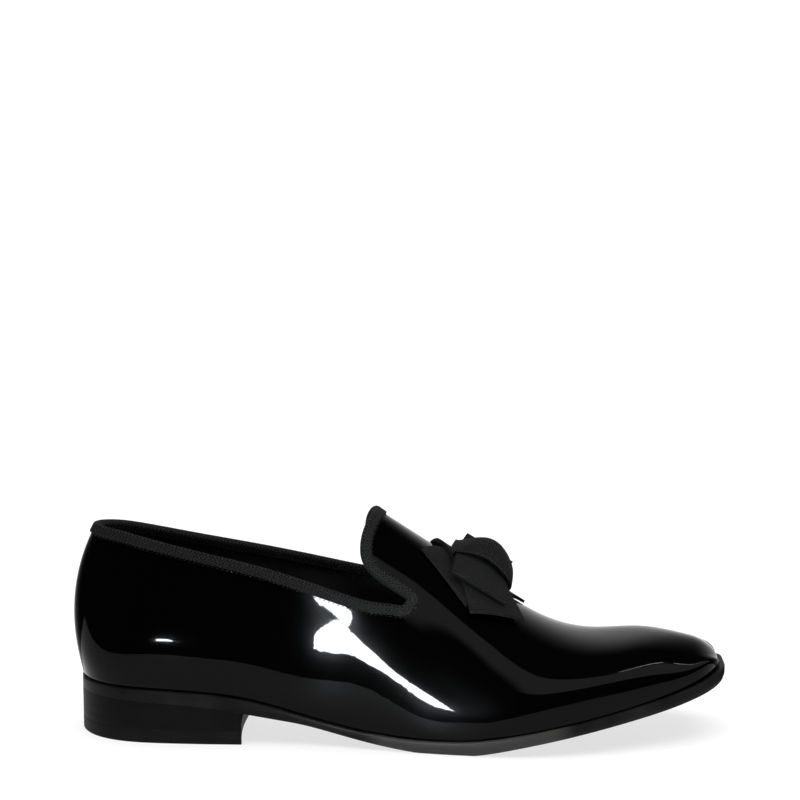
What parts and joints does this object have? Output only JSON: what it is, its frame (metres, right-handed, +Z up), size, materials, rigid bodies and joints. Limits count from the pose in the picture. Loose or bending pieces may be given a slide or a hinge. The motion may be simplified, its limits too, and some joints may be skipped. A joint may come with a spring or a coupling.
{
  "type": "slip-on loafer",
  "caption": "Right-foot patent leather slip-on loafer with a rounded tongue, ribbon-bound collar, ribbon bow, thin leather sole, chiselled toe and low stacked heel.",
  "frame": {"origin": "on the floor under the middle of the shoe's bounding box", "axes": "+X towards the toe, -Y towards the outer side of the right foot, +Z up"},
  "size_m": [0.2996, 0.09, 0.1024],
  "materials": {
    "patent_leather": "mirror-gloss black patent",
    "binding_grosgrain": "matt ribbed black ribbon",
    "insole_leather": "smooth matt black",
    "sole_leather": "satin black edge dressing",
    "heel_leather": "satin black stacked leather",
    "heel_rubber": "matt black",
    "bow_grosgrain": "matt ribbed black ribbon"
  },
  "bodies": {
    "root": {"upper": "patent_leather", "topline_binding": "binding_grosgrain", "insole": "insole_leather", "outsole": "sole_leather", "heel_block": "heel_leather", "heel_top_lift": "heel_rubber", "bow_ribbon_lower": "bow_grosgrain", "bow_ribbon_upper": "bow_grosgrain", "bow_loop_lateral": "bow_grosgrain", "bow_loop_medial": "bow_grosgrain", "bow_knot": "bow_grosgrain"}
  },
  "joints": []
}
